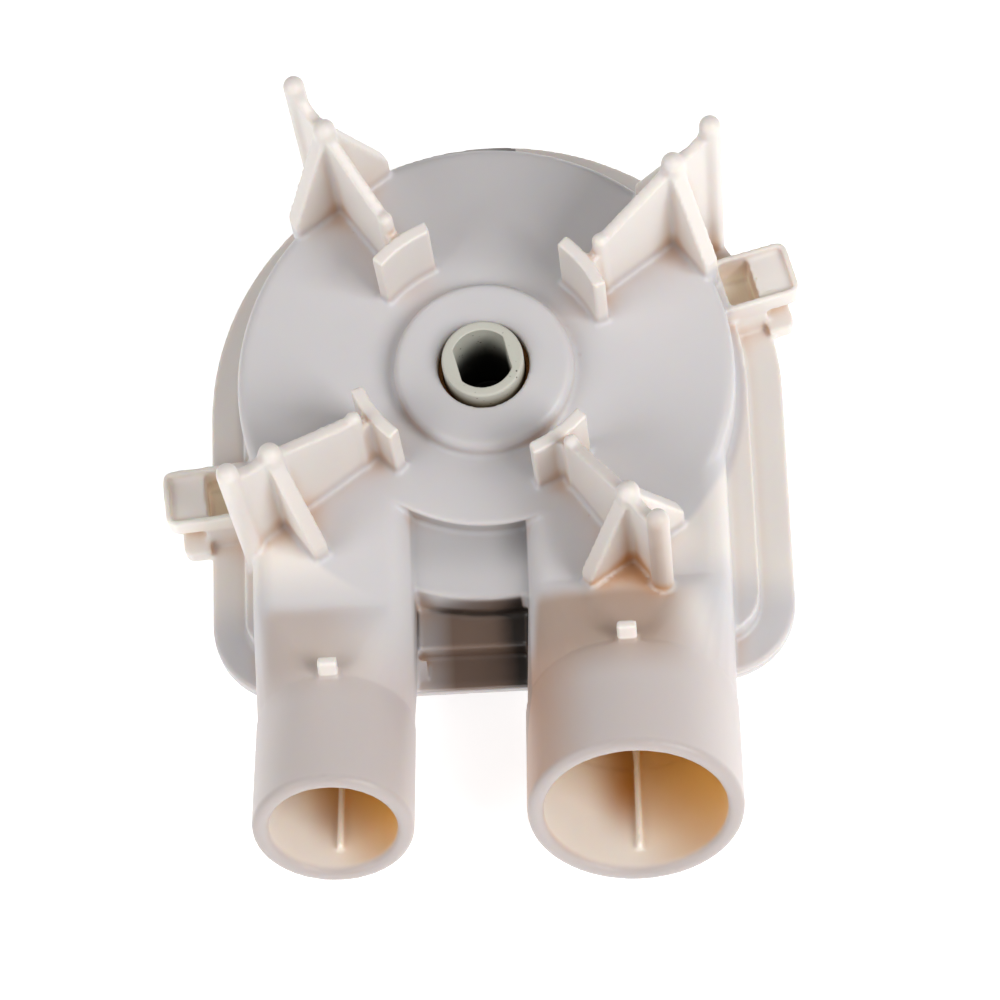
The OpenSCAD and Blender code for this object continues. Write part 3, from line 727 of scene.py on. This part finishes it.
class PUMP_OT_drive_hub(bpy.types.Operator):
    """Moulds the drive hub with its double-D socket"""

    bl_idname = "pump.drive_hub"
    bl_label = "Drive hub"

    def execute(self, context):
        shape = context.scene.pump_shape
        material = hub_plastic(context.scene.pump_colours)
        moulded_piece("drive_hub", "moulded_drive_hub", shape.hub_grain, SMALL_PASSES,
                      HUB_FACES, material, "rotor")
        return {"FINISHED"}


class PUMP_OT_bearing(bpy.types.Operator):
    """Finishes the bush, its oil felt and the thrust button"""

    bl_idname = "pump.bearing"
    bl_label = "Bearing"

    def execute(self, context):
        shape = context.scene.pump_shape
        for node, name, material, slot in (
                ("shaft_bush", "sintered_bush", sintered_bronze(context.scene.pump_colours), "bronze"),
                ("oil_felt", "pressed_felt", oiled_felt(), "felt"),
                ("thrust_button", "domed_button", white_plastic(), "white_plastic")):
            moulded_piece(node, name, shape.small_grain, SMALL_PASSES, SMALL_FACES, material,
                          "housing")
        return {"FINISHED"}


class PUMP_OT_shaft_seal(bpy.types.Operator):
    """Finishes the seal's rings, bellows, band, holder and collar"""

    bl_idname = "pump.shaft_seal"
    bl_label = "Shaft seal"

    def execute(self, context):
        shape = context.scene.pump_shape
        rubber = black_rubber()
        brass = worn_metal("StampedBrass", linear(206, 176, 104), linear(150, 116, 58), 300)
        steel = worn_metal("StampedSteel", linear(190, 190, 192), linear(140, 140, 143), 300)
        for node, name, material, body, slot in (
                ("seat_cup", "rubber_seat_cup", rubber, "housing", "rubber"),
                ("ceramic_ring", "lapped_ceramic", white_ceramic(), "housing", "ceramic"),
                ("carbon_ring", "lapped_carbon", grey_carbon(), "rotor", "carbon"),
                ("carbon_holder", "brass_holder", brass, "rotor", "brass"),
                ("seal_bellows", "rubber_bellows", rubber, "rotor", "rubber"),
                ("bellows_band", "brass_band", brass, "rotor", "brass"),
                ("spring_collar", "steel_collar", steel, "rotor", "steel")):
            moulded_piece(node, name, shape.small_grain, SMALL_PASSES, SMALL_FACES, material, body)
        return {"FINISHED"}


class PUMP_OT_seal_spring(bpy.types.Operator):
    """Winds the seal's spring from round wire"""

    bl_idname = "pump.seal_spring"
    bl_label = "Seal spring"

    def execute(self, context):
        low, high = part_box("seal_spring")
        reach = high.x - WIRE_RADIUS
        bottom, top = low.z + WIRE_RADIUS, high.z - WIRE_RADIUS
        curve = bpy.data.curves.new("seal_spring_wire", "CURVE")
        curve.dimensions = "3D"
        curve.bevel_depth = WIRE_RADIUS
        curve.bevel_resolution = 4
        curve.use_fill_caps = True
        spline = curve.splines.new("POLY")
        steps = SPRING_TURNS * STEPS_PER_TURN
        spline.points.add(steps)
        for index, point in enumerate(spline.points):
            angle = 2 * math.pi * index / STEPS_PER_TURN
            climb = bottom + (top - bottom) * index / steps
            point.co = (reach * math.cos(angle), reach * math.sin(angle), climb, 1)
        piece = bpy.data.objects.new("wound_spring", curve)
        context.scene.collection.objects.link(piece)
        pick(piece)
        bpy.ops.object.convert(target="MESH")
        piece.data.shade_smooth()
        steel = worn_metal("SpringSteel", linear(200, 200, 203), linear(150, 150, 153), 500)
        finish(piece, steel, "rotor", "seal_spring")
        return {"FINISHED"}


class PUMP_PT_panel(bpy.types.Panel):
    """Lists the steps of dressing the pump"""

    bl_idname = "PUMP_PT_panel"
    bl_label = "Drain pump"
    bl_space_type = "VIEW_3D"
    bl_region_type = "UI"
    bl_category = "Drain Pump"

    def draw(self, context):
        for step in STEPS:
            self.layout.operator(step.bl_idname)


SETTINGS = (PumpShape, PumpColours, PumpStudio)
STEPS = (PUMP_OT_stage, PUMP_OT_front_housing, PUMP_OT_rear_cover, PUMP_OT_impeller, PUMP_OT_drive_hub,
         PUMP_OT_bearing, PUMP_OT_shaft_seal, PUMP_OT_seal_spring)


def register():
    for group in SETTINGS + STEPS + (PUMP_PT_panel,):
        bpy.utils.register_class(group)
    bpy.types.Scene.pump_shape = PointerProperty(type=PumpShape)
    bpy.types.Scene.pump_colours = PointerProperty(type=PumpColours)
    bpy.types.Scene.pump_studio = PointerProperty(type=PumpStudio)


def unregister():
    del bpy.types.Scene.pump_studio
    del bpy.types.Scene.pump_colours
    del bpy.types.Scene.pump_shape
    for group in reversed(SETTINGS + STEPS + (PUMP_PT_panel,)):
        bpy.utils.unregister_class(group)


def main():
    register()
    bpy.ops.pump.stage()
    bpy.ops.pump.front_housing()
    bpy.ops.pump.rear_cover()
    bpy.ops.pump.impeller()
    bpy.ops.pump.drive_hub()
    bpy.ops.pump.bearing()
    bpy.ops.pump.shaft_seal()
    bpy.ops.pump.seal_spring()


if __name__ == "__main__":
    main()
